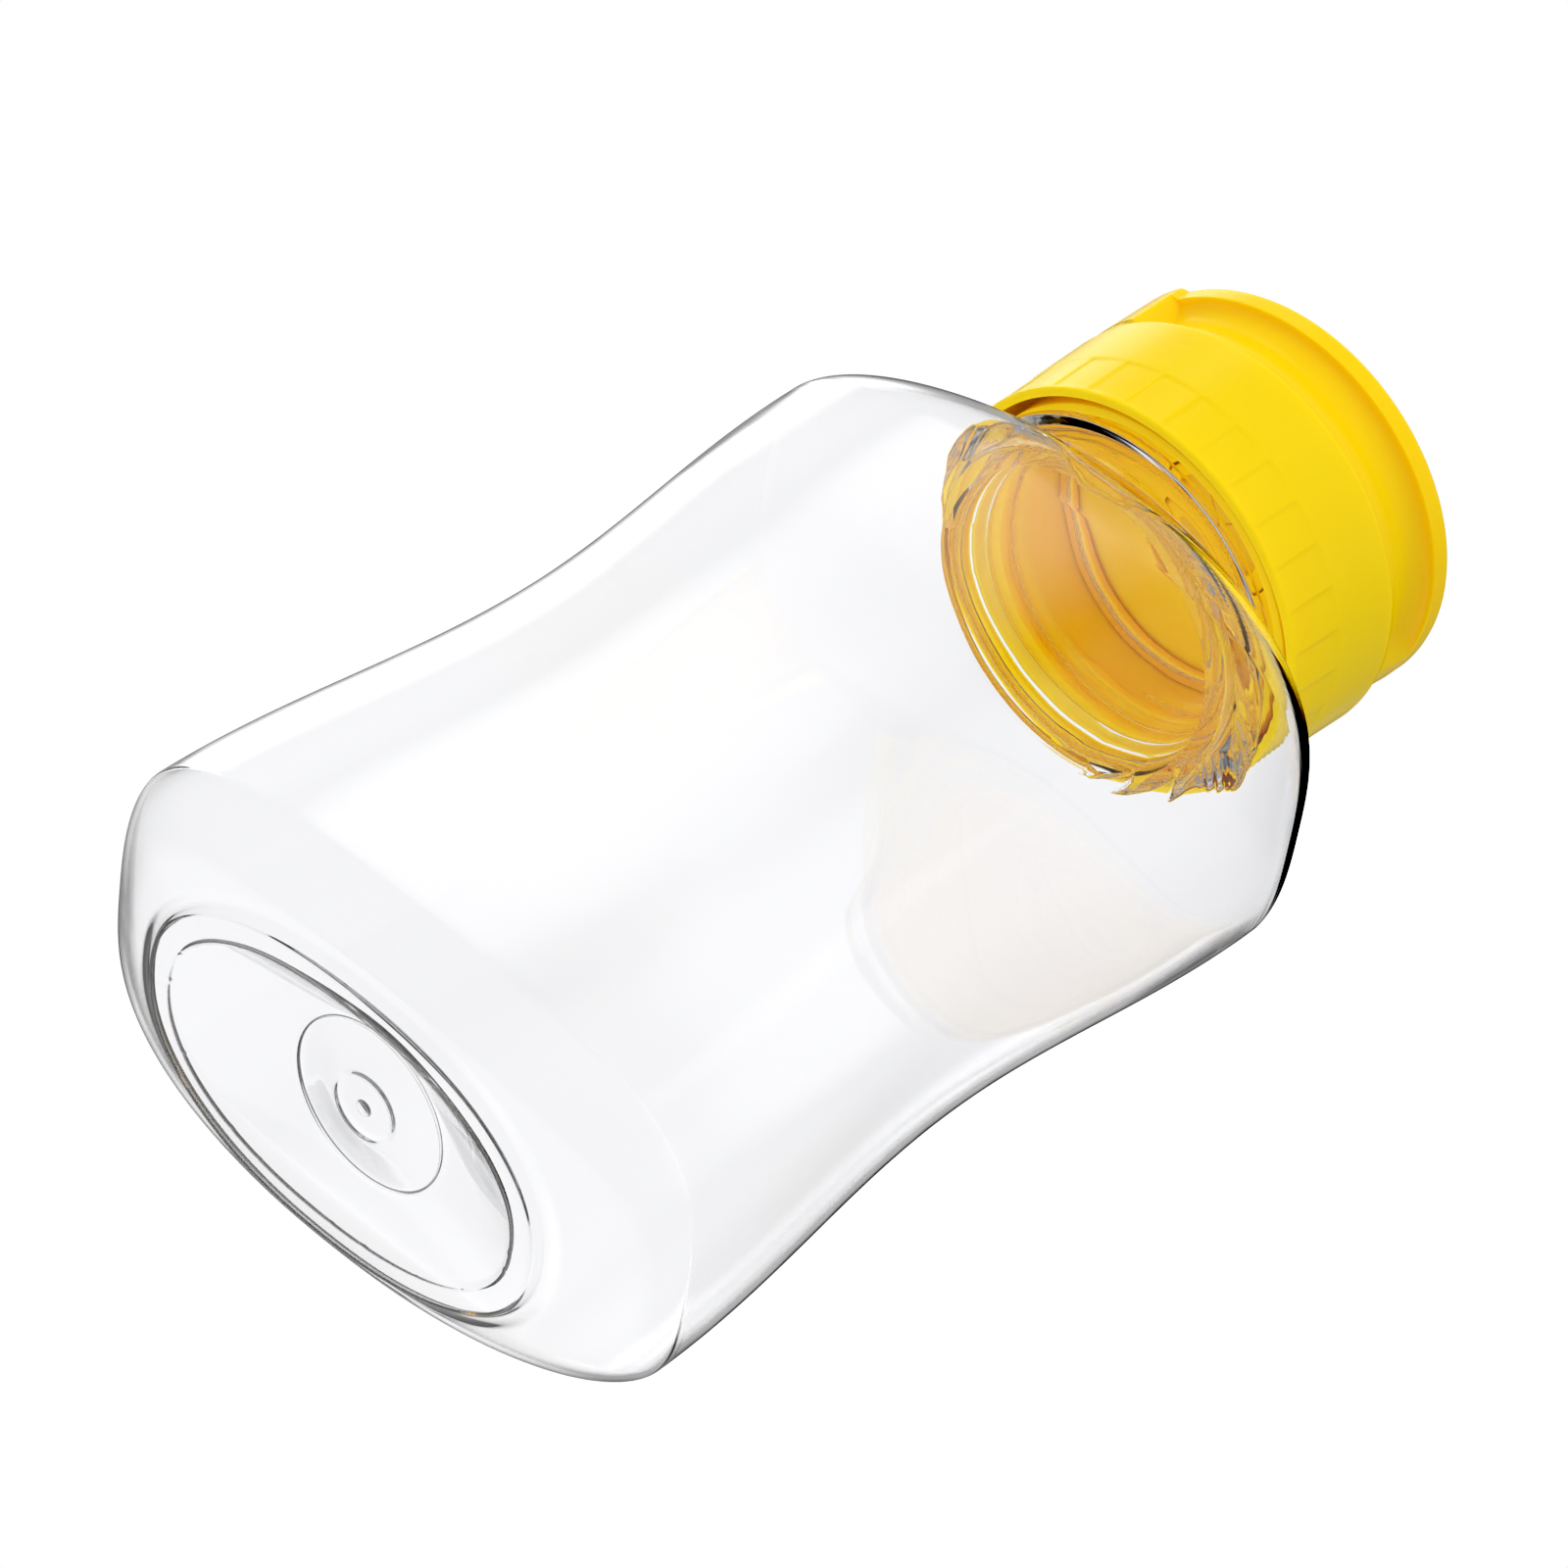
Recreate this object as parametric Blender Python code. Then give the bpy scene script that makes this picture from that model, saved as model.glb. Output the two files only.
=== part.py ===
"""A clear squeeze bottle for honey with a yellow flip-top screw cap, modelled in metres with +Z up.

The bottle stands on its foot ring at z = 0, its wide side along X. The cap is turned by cap_turn when
tight, so its pieces are modelled round an empty whose -X side carries the lid's hinge.
"""

import math

import bmesh
import bpy
from mathutils import Matrix, Vector

# Body: half sizes of a rounded rectangle that is waisted like an hourglass
body_half_width = 0.0359
body_half_depth = 0.0222
waist_draw_width = 0.0038
waist_draw_depth = 0.0017
shoulder_draw_width = 0.0009
heel_draw_depth = 0.0005
body_squareness = 3.2
heel_height = 0.0086
waist_height = 0.0537
shoulder_height = 0.0944
shoulder_rise = 0.0106
heel_bevel_power = 1.53
shoulder_bevel_power = 1.72

# Foot ring and base
foot_half_width = 0.0249
foot_half_depth = 0.0167
foot_height = 0.0012
foot_land_width = 0.0018
foot_fillet = 0.0007
foot_step_width = 0.0012
recess_lip = 0.0005
recess_depth = 0.0032
recess_flat_radius = 0.0094
gate_ring_radius = 0.0036
gate_ring_depth = 0.0003
gate_radius = 0.0011
gate_length = 0.0007
round_squareness = 2.0
foot_squareness = 2.2

# Walls of the bottle
body_wall = 0.0006
base_wall = 0.0010
heel_wall = 0.0008
neck_wall = 0.0016

# Neck finish: the 38 mm thread that carries the cap
neck_radius = 0.0177
neck_root_step = 0.0009
neck_bead_step = 0.0027
neck_bead_height = 0.0012
neck_bead_rise = 0.0030
neck_height = 0.0173
mouth_chamfer = 0.0004
thread_pitch = 0.0042
thread_turns = 1.25
thread_depth = 0.00115
thread_root_width = 0.0024
thread_crest_width = 0.0010
thread_start_height = 0.0081
thread_sink = 0.0004
thread_taper_turns = 0.06

# Screw cap
cap_turn = math.radians(31.8)
skirt_wall = 0.0010
skirt_space = 0.00158
skirt_flare = 0.00045
skirt_height = 0.0152
skirt_rim_fillet = 0.0004
skirt_top_fillet = 0.0005
deck_thickness = 0.00125
thread_wall = 0.0011
thread_wall_lift = 0.0010
thread_crest_clearance = 0.00042
groove_count = 30
groove_depth = 0.0002
groove_width = 0.0006
groove_lift = 0.0010
groove_height = 0.0066
collar_bore_radius = 0.0080
collar_wall = 0.0020
collar_height = 0.0033
collar_lip_width = 0.0015
collar_lip_thickness = 0.0010
collar_chamfer = 0.0003

# Gasket, valve and the ring that holds the valve
seat_gap = 0.0003
gasket_thickness = 0.00085
gasket_set_back = 0.0002
valve_flange_width = 0.0012
valve_flange_thickness = 0.0010
valve_film = 0.0006
valve_sag = 0.0006
valve_slit_length = 0.0070
valve_slit_width = 0.0002
retainer_width = 0.0017

# Flip lid
lid_step = 0.00115
lid_height = 0.0097
lid_wall = 0.0012
lid_top_thickness = 0.0015
lid_edge_height = 0.0006
cove_depth = 0.0014
cove_height = 0.0050
disc_step = 0.00075
disc_rim_thickness = 0.0024
disc_edge_round = 0.0009
top_land_width = 0.0030
top_recess_depth = 0.0004
top_recess_slope = 0.0005
plug_side_clearance = 0.0005
plug_wall = 0.0010
plug_gap = 0.0005
block_half_angle = math.radians(16.8)
block_inset = 0.0001
block_drop = 0.0008
block_edge_round = 0.0006
lip_half_angle = math.radians(17)
lip_drop = 0.0014

# Living hinge
hinge_offset = 0.00015
web_thickness = 0.00045
web_half_angle = math.radians(13)
web_half_height = 0.0009
web_inset = 0.00015
web_gap = 0.00012
web_side_gap_angle = math.radians(1.0)

# Mesh density and cutting
cut_over = 0.0010
body_segments = 44
cap_segments = 48
small_segments = 28
thread_segments = 28

# Half sizes of the body's sections
waist_half_width = body_half_width - waist_draw_width
waist_half_depth = body_half_depth - waist_draw_depth
shoulder_half_width = body_half_width - shoulder_draw_width
heel_half_depth = body_half_depth - heel_draw_depth

# Radii that follow from the neck outwards, and from the collar inwards
neck_root_radius = neck_radius + neck_root_step
neck_bead_radius = neck_radius + neck_bead_step
neck_bore_radius = neck_radius - neck_wall
thread_crest_radius = neck_radius + thread_depth
nut_bore_radius = thread_crest_radius + thread_crest_clearance
nut_outer_radius = nut_bore_radius + thread_wall
skirt_top_radius = nut_outer_radius + skirt_space + skirt_wall
skirt_rim_radius = skirt_top_radius - skirt_flare
lid_radius = skirt_top_radius - lid_step
disc_radius = skirt_top_radius - disc_step
hinge_radius = skirt_top_radius + hinge_offset
collar_radius = collar_bore_radius + collar_wall
collar_lip_radius = collar_bore_radius - collar_lip_width
plug_radius = collar_lip_radius - plug_side_clearance
valve_radius = collar_bore_radius - seat_gap

# Heights that follow from the sizes above
neck_base_z = shoulder_height + shoulder_rise
mouth_z = neck_base_z + neck_height
gasket_z = mouth_z + seat_gap
deck_under_z = gasket_z + gasket_thickness + seat_gap
deck_top_z = deck_under_z + deck_thickness
skirt_rim_z = deck_top_z - skirt_height
lid_z = deck_top_z + seat_gap
lid_top_z = lid_z + lid_height
lip_under_z = deck_top_z + collar_height - collar_lip_thickness
valve_top_z = lip_under_z - seat_gap
valve_flange_z = valve_top_z - valve_flange_thickness
retainer_z = deck_under_z + seat_gap
thread_start_z = neck_base_z + thread_start_height

clear = (0.93, 0.96, 0.97, 0.25)
cap_yellow = (0.98, 0.72, 0.02, 1.0)
lid_yellow = (0.98, 0.66, 0.01, 1.0)
silicone_amber = (0.93, 0.80, 0.45, 1.0)
liner_yellow = (0.95, 0.74, 0.20, 1.0)


def clear_scene():
    for old in list(bpy.data.objects):
        bpy.data.objects.remove(old, do_unlink=True)


def plastic(name, colour, roughness, transmission=0.0):
    material = bpy.data.materials.new(name)
    material.use_nodes = True
    shader = material.node_tree.nodes["Principled BSDF"]
    shader.inputs["Base Color"].default_value = colour
    shader.inputs["Roughness"].default_value = roughness
    shader.inputs["Metallic"].default_value = 0.0
    shader.inputs["Transmission Weight"].default_value = transmission
    shader.inputs["Alpha"].default_value = colour[3]
    return material


def mesh_object(name, bm, material=None, smooth=True):
    """Writes a bmesh to a new object, its faces turned outwards and its round faces shaded smooth."""
    bmesh.ops.recalc_face_normals(bm, faces=bm.faces)
    mesh = bpy.data.meshes.new(name)
    bm.to_mesh(mesh)
    bm.free()
    if smooth:
        mesh.shade_smooth()
        mesh.set_sharp_from_angle(angle=math.radians(35))
    thing = bpy.data.objects.new(name, mesh)
    bpy.context.scene.collection.objects.link(thing)
    if material is not None:
        mesh.materials.append(material)
    return thing


def as_tool(thing):
    thing.hide_render = True
    thing.display_type = "WIRE"
    return thing


def combine(thing, tool, operation):
    """Adds a Boolean that joins the tool to the object or cuts it away."""
    modifier = thing.modifiers.new(operation.lower() + "_" + tool.name, "BOOLEAN")
    modifier.operation = operation
    modifier.solver = "EXACT"
    modifier.object = as_tool(tool)


def turned(name, outline, segments, material=None):
    """Spins an outline of (radius, height) points round Z. A closed ring repeats its first point."""
    bm = bmesh.new()
    verts = [bm.verts.new((radius, 0, height)) for radius, height in outline]
    edges = [bm.edges.new(pair) for pair in zip(verts, verts[1:])]
    bmesh.ops.spin(
        bm,
        geom=verts + edges,
        cent=(0, 0, 0),
        axis=(0, 0, 1),
        angle=math.tau,
        steps=segments,
        use_merge=True,
    )
    bmesh.ops.remove_doubles(bm, verts=bm.verts, dist=weld)
    return mesh_object(name, bm, material)


def bridged(bm, rings, closed_path=False):
    """Joins rings of points by quads, and closes both ends unless the path of rings is closed."""
    made = [[bm.verts.new(point) for point in ring] for ring in rings]
    pairs = list(zip(made, made[1:]))
    if closed_path:
        pairs.append((made[-1], made[0]))
    for low, high in pairs:
        for i in range(len(low)):
            j = (i + 1) % len(low)
            bm.faces.new((low[i], low[j], high[j], high[i]))
    if not closed_path:
        bm.faces.new(made[0])
        bm.faces.new(made[-1])
    return made


def sector(name, inner, outer, low, high, half_angle, centre_angle=math.pi, top_outer=None):
    """A block that follows a cylinder: a rectangle swept through an angle round Z."""
    steps = max(2, round(half_angle / math.radians(4)))
    top = outer if top_outer is None else top_outer
    rings = []
    for step in range(steps + 1):
        angle = centre_angle + half_angle * (2 * step / steps - 1)
        along = Vector((math.cos(angle), math.sin(angle), 0))
        corners = ((inner, low), (outer, low), (top, high), (inner, high))
        rings.append([along * radius + Vector((0, 0, z)) for radius, z in corners])
    bm = bmesh.new()
    bridged(bm, rings)
    return mesh_object(name, bm)


def superellipse(half_width, half_depth, squareness, height, segments):
    """One ring of the body: a circle or an ellipse at squareness 2, a rounded rectangle above it."""
    power = 2 / squareness
    ring = []
    for i in range(segments):
        angle = math.tau * i / segments
        c, s = math.cos(angle), math.sin(angle)
        x = half_width * math.copysign(abs(c) ** power, c)
        y = half_depth * math.copysign(abs(s) ** power, s)
        ring.append(Vector((x, y, height)))
    return ring


def mix(start, end, share):
    return start + (end - start) * share


def waisted(end_size, waist_size, height, end_height):
    """A half size of the body at a height, on a cosine from its waist to the heel or the shoulder."""
    share = (height - waist_height) / (end_height - waist_height)
    return mix(waist_size, end_size, (1 - math.cos(math.pi * min(1, share))) / 2)


def body_section(height):
    if height < waist_height:
        ends = (body_half_width, heel_half_depth, heel_height)
    else:
        ends = (shoulder_half_width, body_half_depth, shoulder_height)
    half_width = waisted(ends[0], waist_half_width, height, ends[2])
    half_depth = waisted(ends[1], waist_half_depth, height, ends[2])
    return half_width, half_depth


def bevel_shares(power, steps):
    """Outward and upward shares along a bevel, from where it starts to where it meets the side."""
    shares = []
    for step in range(steps):
        angle = math.pi / 2 * step / steps
        outward = math.sin(angle) ** (2 / power)
        upward = 1 - math.cos(angle) ** (2 / power)
        shares.append((outward, upward))
    return shares


def side_sections(inset, floor_inset, steps_heel, steps_body, steps_shoulder, top_radius):
    """The (half width, half depth, squareness, height) sections from the heel to the neck's root."""
    sections = []
    start_width = foot_half_width + foot_step_width - inset
    start_depth = foot_half_depth + foot_step_width - inset
    start_z = foot_height + floor_inset
    for outward, upward in bevel_shares(heel_bevel_power, steps_heel):
        sections.append((
            mix(start_width, body_half_width - inset, outward),
            mix(start_depth, heel_half_depth - inset, outward),
            mix(foot_squareness, body_squareness, outward),
            mix(start_z, heel_height, upward),
        ))
    for step in range(steps_body):
        height = mix(heel_height, shoulder_height, step / steps_body)
        half_width, half_depth = body_section(height)
        sections.append((half_width - inset, half_depth - inset, body_squareness, height))
    top_z = neck_base_z - inset
    for outward, upward in reversed(bevel_shares(shoulder_bevel_power, steps_shoulder)):
        sections.append((
            mix(top_radius, shoulder_half_width - inset, outward),
            mix(top_radius, body_half_depth - inset, outward),
            mix(round_squareness, body_squareness, outward),
            mix(top_z, shoulder_height, upward),
        ))
    return sections


def base_sections():
    """The underside, from the gate in the middle out to the foot ring's outer edge."""
    floor_z = foot_height + recess_depth
    lip_width = foot_half_width - foot_fillet - foot_land_width
    lip_depth = foot_half_depth - foot_fillet - foot_land_width
    wall_width = lip_width - foot_fillet
    wall_depth = lip_depth - foot_fillet
    halfway_width = (wall_width + recess_flat_radius) / 2
    halfway_depth = (wall_depth + recess_flat_radius) / 2
    gate_z = floor_z + gate_ring_depth - gate_length
    return [
        (gate_radius, gate_radius, round_squareness, gate_z),
        (gate_radius, gate_radius, round_squareness, floor_z + gate_ring_depth),
        (gate_ring_radius, gate_ring_radius, round_squareness, floor_z + gate_ring_depth),
        (gate_ring_radius + gate_ring_depth, gate_ring_radius + gate_ring_depth, round_squareness, floor_z),
        (recess_flat_radius, recess_flat_radius, round_squareness, floor_z - gate_ring_depth),
        (halfway_width, halfway_depth, round_squareness, foot_height + recess_depth * 0.45),
        (wall_width, wall_depth, foot_squareness, recess_lip),
        (lip_width, lip_depth, foot_squareness, 0),
        (lip_width + foot_land_width, lip_depth + foot_land_width, foot_squareness, 0),
        (foot_half_width, foot_half_depth, foot_squareness, foot_fillet),
    ]


def inner_base_sections():
    """The inside of the base, from the heel in to the middle of the raised floor."""
    floor_z = foot_height + recess_depth + base_wall
    foot_width = foot_half_width - foot_fillet - foot_land_width
    foot_depth = foot_half_depth - foot_fillet - foot_land_width
    wall_width = foot_width - foot_fillet - heel_wall
    wall_depth = foot_depth - foot_fillet - heel_wall
    return [
        (foot_width + foot_fillet, foot_depth + foot_fillet, foot_squareness, base_wall),
        (wall_width, wall_depth, foot_squareness, recess_lip + base_wall),
        (recess_flat_radius, recess_flat_radius, round_squareness, floor_z - gate_ring_depth),
    ]


def neck_sections():
    """The outside of the neck: root, bead under the cap, thread land and mouth."""
    bead_low = neck_base_z + neck_bead_rise
    bead_high = bead_low + neck_bead_height
    bead_slope = neck_bead_radius - neck_root_radius
    heights = [
        (neck_root_radius, bead_low - bead_slope / 2),
        (neck_bead_radius, bead_low),
        (neck_bead_radius, bead_high),
        (neck_radius, bead_high + bead_slope / 2),
        (neck_radius, mouth_z - mouth_chamfer),
        (neck_radius - mouth_chamfer, mouth_z),
    ]
    return [(radius, radius, round_squareness, z) for radius, z in heights]


def thread_ridge(name, root_radius, crest_radius, start_z):
    """A ridge along a right-handed helix, sunk into its wall and tapered away at both ends."""
    steps = round(thread_segments * thread_turns)
    outward = math.copysign(1, crest_radius - root_radius)
    rings = []
    for step in range(steps + 1):
        turns = thread_turns * step / steps
        ends = min(turns, thread_turns - turns) / thread_taper_turns
        rise = min(1, ends)
        angle = math.tau * turns
        along = Vector((math.cos(angle), math.sin(angle), 0))
        middle = start_z + thread_pitch * turns
        sunk = root_radius - outward * thread_sink
        crest = mix(root_radius - outward * thread_sink / 2, crest_radius, rise)
        corners = (
            (sunk, middle - thread_root_width / 2),
            (crest, middle - thread_crest_width / 2),
            (crest, middle + thread_crest_width / 2),
            (sunk, middle + thread_root_width / 2),
        )
        rings.append([along * radius + Vector((0, 0, z)) for radius, z in corners])
    bm = bmesh.new()
    bridged(bm, rings)
    return mesh_object(name, bm)


def bottle_shell(material):
    """The blown body, foot ring, base recess and threaded neck as one hollow shell."""
    outside = base_sections()
    outside += side_sections(0, 0, 5, 10, 5, neck_root_radius)
    outside += neck_sections()
    inside = side_sections(body_wall, base_wall, 4, 8, 4, neck_root_radius - neck_wall)
    for z in (neck_base_z + neck_bead_rise, mouth_z):
        inside.append((neck_bore_radius, neck_bore_radius, round_squareness, z))
    sections = outside + inside[::-1] + inner_base_sections()
    rings = [superellipse(*section, body_segments) for section in sections]
    bm = bmesh.new()
    bridged(bm, rings)
    shell = mesh_object("bottle_shell", bm, material)
    ridge = thread_ridge("neck_thread", neck_radius, thread_crest_radius, thread_start_z)
    combine(shell, ridge, "UNION")
    return shell


def groove_tool():
    """Shallow V grooves for grip, cut into the lower part of the skirt."""
    bm = bmesh.new()
    low = skirt_rim_z + groove_lift
    high = low + groove_height
    slope = (skirt_top_radius - skirt_rim_radius) / skirt_height
    for i in range(groove_count):
        turn = Matrix.Rotation(math.tau * i / groove_count, 3, "Z")
        rings = []
        for z in (low, high):
            surface = skirt_rim_radius + slope * (z - skirt_rim_z)
            points = (
                Vector((surface - groove_depth, 0, z)),
                Vector((surface + cut_over, groove_width * (1 + cut_over / groove_depth) / 2, z)),
                Vector((surface + cut_over, -groove_width * (1 + cut_over / groove_depth) / 2, z)),
            )
            rings.append([turn @ point for point in points])
        bridged(bm, rings)
    return mesh_object("grip_grooves", bm)


def web_pocket(name):
    """Room for the living hinge, in the outer face of the skirt and of the lid's hinge block."""
    low = deck_top_z + seat_gap / 2 - web_half_height - seat_gap
    high = deck_top_z + seat_gap / 2 + web_half_height + seat_gap
    inner = skirt_top_radius - web_inset - web_thickness - web_gap
    outer = skirt_top_radius + cut_over
    return sector(name, inner, outer, low, high, web_half_angle + web_side_gap_angle)


def cap_body(material):
    """The screw cap: skirt, threaded inner wall, deck and the collar that takes the valve."""
    collar_top = deck_top_z + collar_height
    skirt_inner_top = skirt_top_radius - skirt_wall
    skirt_inner_rim = skirt_rim_radius - skirt_wall
    wall_foot_z = skirt_rim_z + thread_wall_lift
    outline = [
        (skirt_inner_rim + skirt_rim_fillet / 2, skirt_rim_z),
        (skirt_rim_radius - skirt_rim_fillet, skirt_rim_z),
        (skirt_rim_radius, skirt_rim_z + skirt_rim_fillet),
        (skirt_top_radius, deck_top_z - skirt_top_fillet),
        (skirt_top_radius - skirt_top_fillet * 0.3, deck_top_z - skirt_top_fillet * 0.3),
        (skirt_top_radius - skirt_top_fillet, deck_top_z),
        (collar_radius, deck_top_z),
        (collar_radius, collar_top - collar_chamfer),
        (collar_radius - collar_chamfer, collar_top),
        (collar_lip_radius, collar_top),
        (collar_lip_radius, lip_under_z),
        (collar_bore_radius, lip_under_z),
        (collar_bore_radius, deck_under_z),
        (nut_bore_radius, deck_under_z),
        (nut_bore_radius, wall_foot_z),
        (nut_outer_radius, wall_foot_z),
        (nut_outer_radius, deck_under_z),
        (skirt_inner_top, deck_under_z),
        (skirt_inner_rim, skirt_rim_z + skirt_rim_fillet),
    ]
    body = turned("cap_body", outline + outline[:1], cap_segments, material)
    nut_thread_z = thread_start_z - thread_pitch / 2 + thread_crest_width / 4
    crest = nut_bore_radius - thread_depth
    combine(body, thread_ridge("cap_thread", nut_bore_radius, crest, nut_thread_z), "UNION")
    combine(body, groove_tool(), "DIFFERENCE")
    combine(body, web_pocket("cap_hinge_pocket"), "DIFFERENCE")
    return body


def cove_points(steps):
    """The concave band round the lid, from its lower edge up to the underside of the disc's rim."""
    low_z = lid_z + lid_edge_height
    deep_z = lid_z + cove_height
    high_z = lid_top_z - disc_rim_thickness
    deep_radius = lid_radius - cove_depth
    points = []
    for step in range(1, steps + 1):
        share = step / steps
        points.append((
            mix(lid_radius, deep_radius, (1 - math.cos(math.pi * share)) / 2),
            mix(low_z, deep_z, share),
        ))
    rim_foot_radius = disc_radius - disc_edge_round / 2
    for step in range(1, steps + 1):
        angle = math.pi / 2 * step / steps
        points.append((
            mix(deep_radius, rim_foot_radius, 1 - math.cos(angle)),
            mix(deep_z, high_z, math.sin(angle)),
        ))
    return points


def flip_lid(material):
    """The lid: coved wall, rolled disc on top, hinge block, front lip and the ring that shuts the valve."""
    edge = disc_edge_round
    recess_radius = disc_radius - edge - top_land_width
    ceiling_z = lid_top_z - top_recess_depth - lid_top_thickness
    inner_radius = lid_radius - lid_wall
    inner_cove_radius = inner_radius - cove_depth
    plug_z = valve_top_z + plug_gap
    outline = [
        (inner_radius, lid_z),
        (lid_radius, lid_z),
        (lid_radius, lid_z + lid_edge_height),
        *cove_points(4),
        (disc_radius, lid_top_z - disc_rim_thickness + edge),
        (disc_radius, lid_top_z - edge),
        (disc_radius - edge * 0.3, lid_top_z - edge * 0.3),
        (disc_radius - edge, lid_top_z),
        (recess_radius, lid_top_z),
        (recess_radius - top_recess_slope, lid_top_z - top_recess_depth),
        (0, lid_top_z - top_recess_depth),
    ]
    inside = [
        (0, ceiling_z),
        (plug_radius - plug_wall, ceiling_z),
        (plug_radius - plug_wall, plug_z),
        (plug_radius, plug_z),
        (plug_radius, ceiling_z),
        (inner_cove_radius - lid_edge_height, ceiling_z),
        (inner_cove_radius, ceiling_z - lid_edge_height),
        (inner_cove_radius, lid_z + cove_height - lid_wall),
        (inner_radius, lid_z + lid_edge_height),
        (inner_radius, lid_z),
    ]
    lid = turned("flip_lid", outline + inside, cap_segments, material)
    block_outer = skirt_top_radius - block_inset
    core = inner_cove_radius + lid_wall / 2
    block = sector("hinge_block", core, block_outer, lid_z, lid_top_z - block_drop, block_half_angle)
    bevel = block.modifiers.new("soft_edges", "BEVEL")
    bevel.width = block_edge_round
    bevel.segments = 1
    bevel.limit_method = "ANGLE"
    bevel.angle_limit = math.radians(60)
    combine(lid, block, "UNION")
    lip = sector("front_lip", core, lid_radius, lid_z, lid_top_z - lip_drop, lip_half_angle, 0, disc_radius)
    combine(lid, lip, "UNION")
    combine(lid, web_pocket("lid_hinge_pocket"), "DIFFERENCE")
    return lid


def hinge_web(material):
    """The thin strip that bends between the cap and the lid."""
    outer = skirt_top_radius - web_inset
    middle = deck_top_z + seat_gap / 2
    web = sector(
        "hinge_web",
        outer - web_thickness,
        outer,
        middle - web_half_height,
        middle + web_half_height,
        web_half_angle,
    )
    web.data.materials.append(material)
    return web


def neck_gasket(material):
    """The soft washer pressed between the bottle's mouth and the cap's deck."""
    inner = neck_bore_radius + gasket_set_back
    outer = nut_bore_radius - seat_gap
    top = gasket_z + gasket_thickness
    outline = [(inner, gasket_z), (outer, gasket_z), (outer, top), (inner, top)]
    return turned("neck_gasket", outline + outline[:1], cap_segments, material)


def silicone_valve(material):
    """A thin dished film inside a flange, slit crosswise so that it opens only when squeezed."""
    film_radius = valve_radius - valve_flange_width
    shares = (0.8, 0.4)
    film_top_z = valve_flange_z + valve_film
    top = [(film_radius * share, film_top_z - valve_sag * (1 - share**2)) for share in shares]
    under = [(radius, z - valve_film) for radius, z in reversed(top)]
    outline = [
        (film_radius, valve_flange_z),
        (valve_radius, valve_flange_z),
        (valve_radius, valve_top_z),
        (film_radius, valve_top_z),
        (film_radius, film_top_z),
        *top,
        (0, film_top_z - valve_sag),
        (0, valve_flange_z - valve_sag),
        *under,
        (film_radius, valve_flange_z),
    ]
    valve = turned("silicone_valve", outline, small_segments, material)
    for number in range(2):
        turn = Matrix.Rotation(math.pi / 2 * number + math.pi / 8, 3, "Z")
        bm = bmesh.new()
        bmesh.ops.create_cube(bm, size=1)
        size = Vector((valve_slit_length, valve_slit_width, valve_sag + valve_film + cut_over))
        middle = Vector((0, 0, valve_flange_z))
        bmesh.ops.scale(bm, vec=size, verts=bm.verts)
        bmesh.ops.rotate(bm, matrix=turn, verts=bm.verts)
        bmesh.ops.translate(bm, vec=middle, verts=bm.verts)
        combine(valve, mesh_object("valve_slit_" + str(number + 1), bm, smooth=False), "DIFFERENCE")
    return valve


def valve_retainer(material):
    """The ring pressed into the collar from below, which holds the valve's flange up under the lip."""
    inner = valve_radius - retainer_width
    top = valve_flange_z - seat_gap
    outline = [(inner, retainer_z), (valve_radius, retainer_z), (valve_radius, top), (inner, top)]
    return turned("valve_retainer", outline + outline[:1], small_segments, material)


weld = body_wall * 0.01

clear_scene()
pet = plastic("clear_pet", clear, 0.04, 1.0)
cap_plastic = plastic("yellow_cap_plastic", cap_yellow, 0.28)
lid_plastic = plastic("yellow_lid_plastic", lid_yellow, 0.28)
rubber = plastic("silicone", silicone_amber, 0.45)
liner = plastic("soft_liner", liner_yellow, 0.60)

shell = bottle_shell(pet)
thread_axis = bpy.data.objects.new("thread_axis", None)
hinge_axis = bpy.data.objects.new("hinge_axis", None)
for empty in (thread_axis, hinge_axis):
    bpy.context.scene.collection.objects.link(empty)
thread_axis.rotation_euler = (0, 0, cap_turn)
hinge_axis.parent = thread_axis
hinge_axis.location = (-hinge_radius, 0, deck_top_z + seat_gap / 2)

carried = [neck_gasket(liner), cap_body(cap_plastic), valve_retainer(cap_plastic), silicone_valve(rubber)]
carried += [hinge_web(lid_plastic)]
lid = flip_lid(lid_plastic)
tools = [thing for thing in bpy.data.objects if thing.hide_render and thing.name != "neck_thread"]
for thing in carried + tools:
    thing.parent = thread_axis
lid.parent = hinge_axis
lid.matrix_parent_inverse = Matrix.Translation(-hinge_axis.location)
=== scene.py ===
"""Looks of a clear honey squeeze bottle with a yellow flip-top cap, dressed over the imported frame.

All sizes are metres in the frame's axes: +Z up from the foot ring, X along the wide side. The cap and
the lid are built round their own axis with the hinge on -X, then turned by cap_turn as the closed cap is.
"""

import math

import bmesh
import bpy
from mathutils import Matrix, Quaternion, Vector, noise


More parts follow.
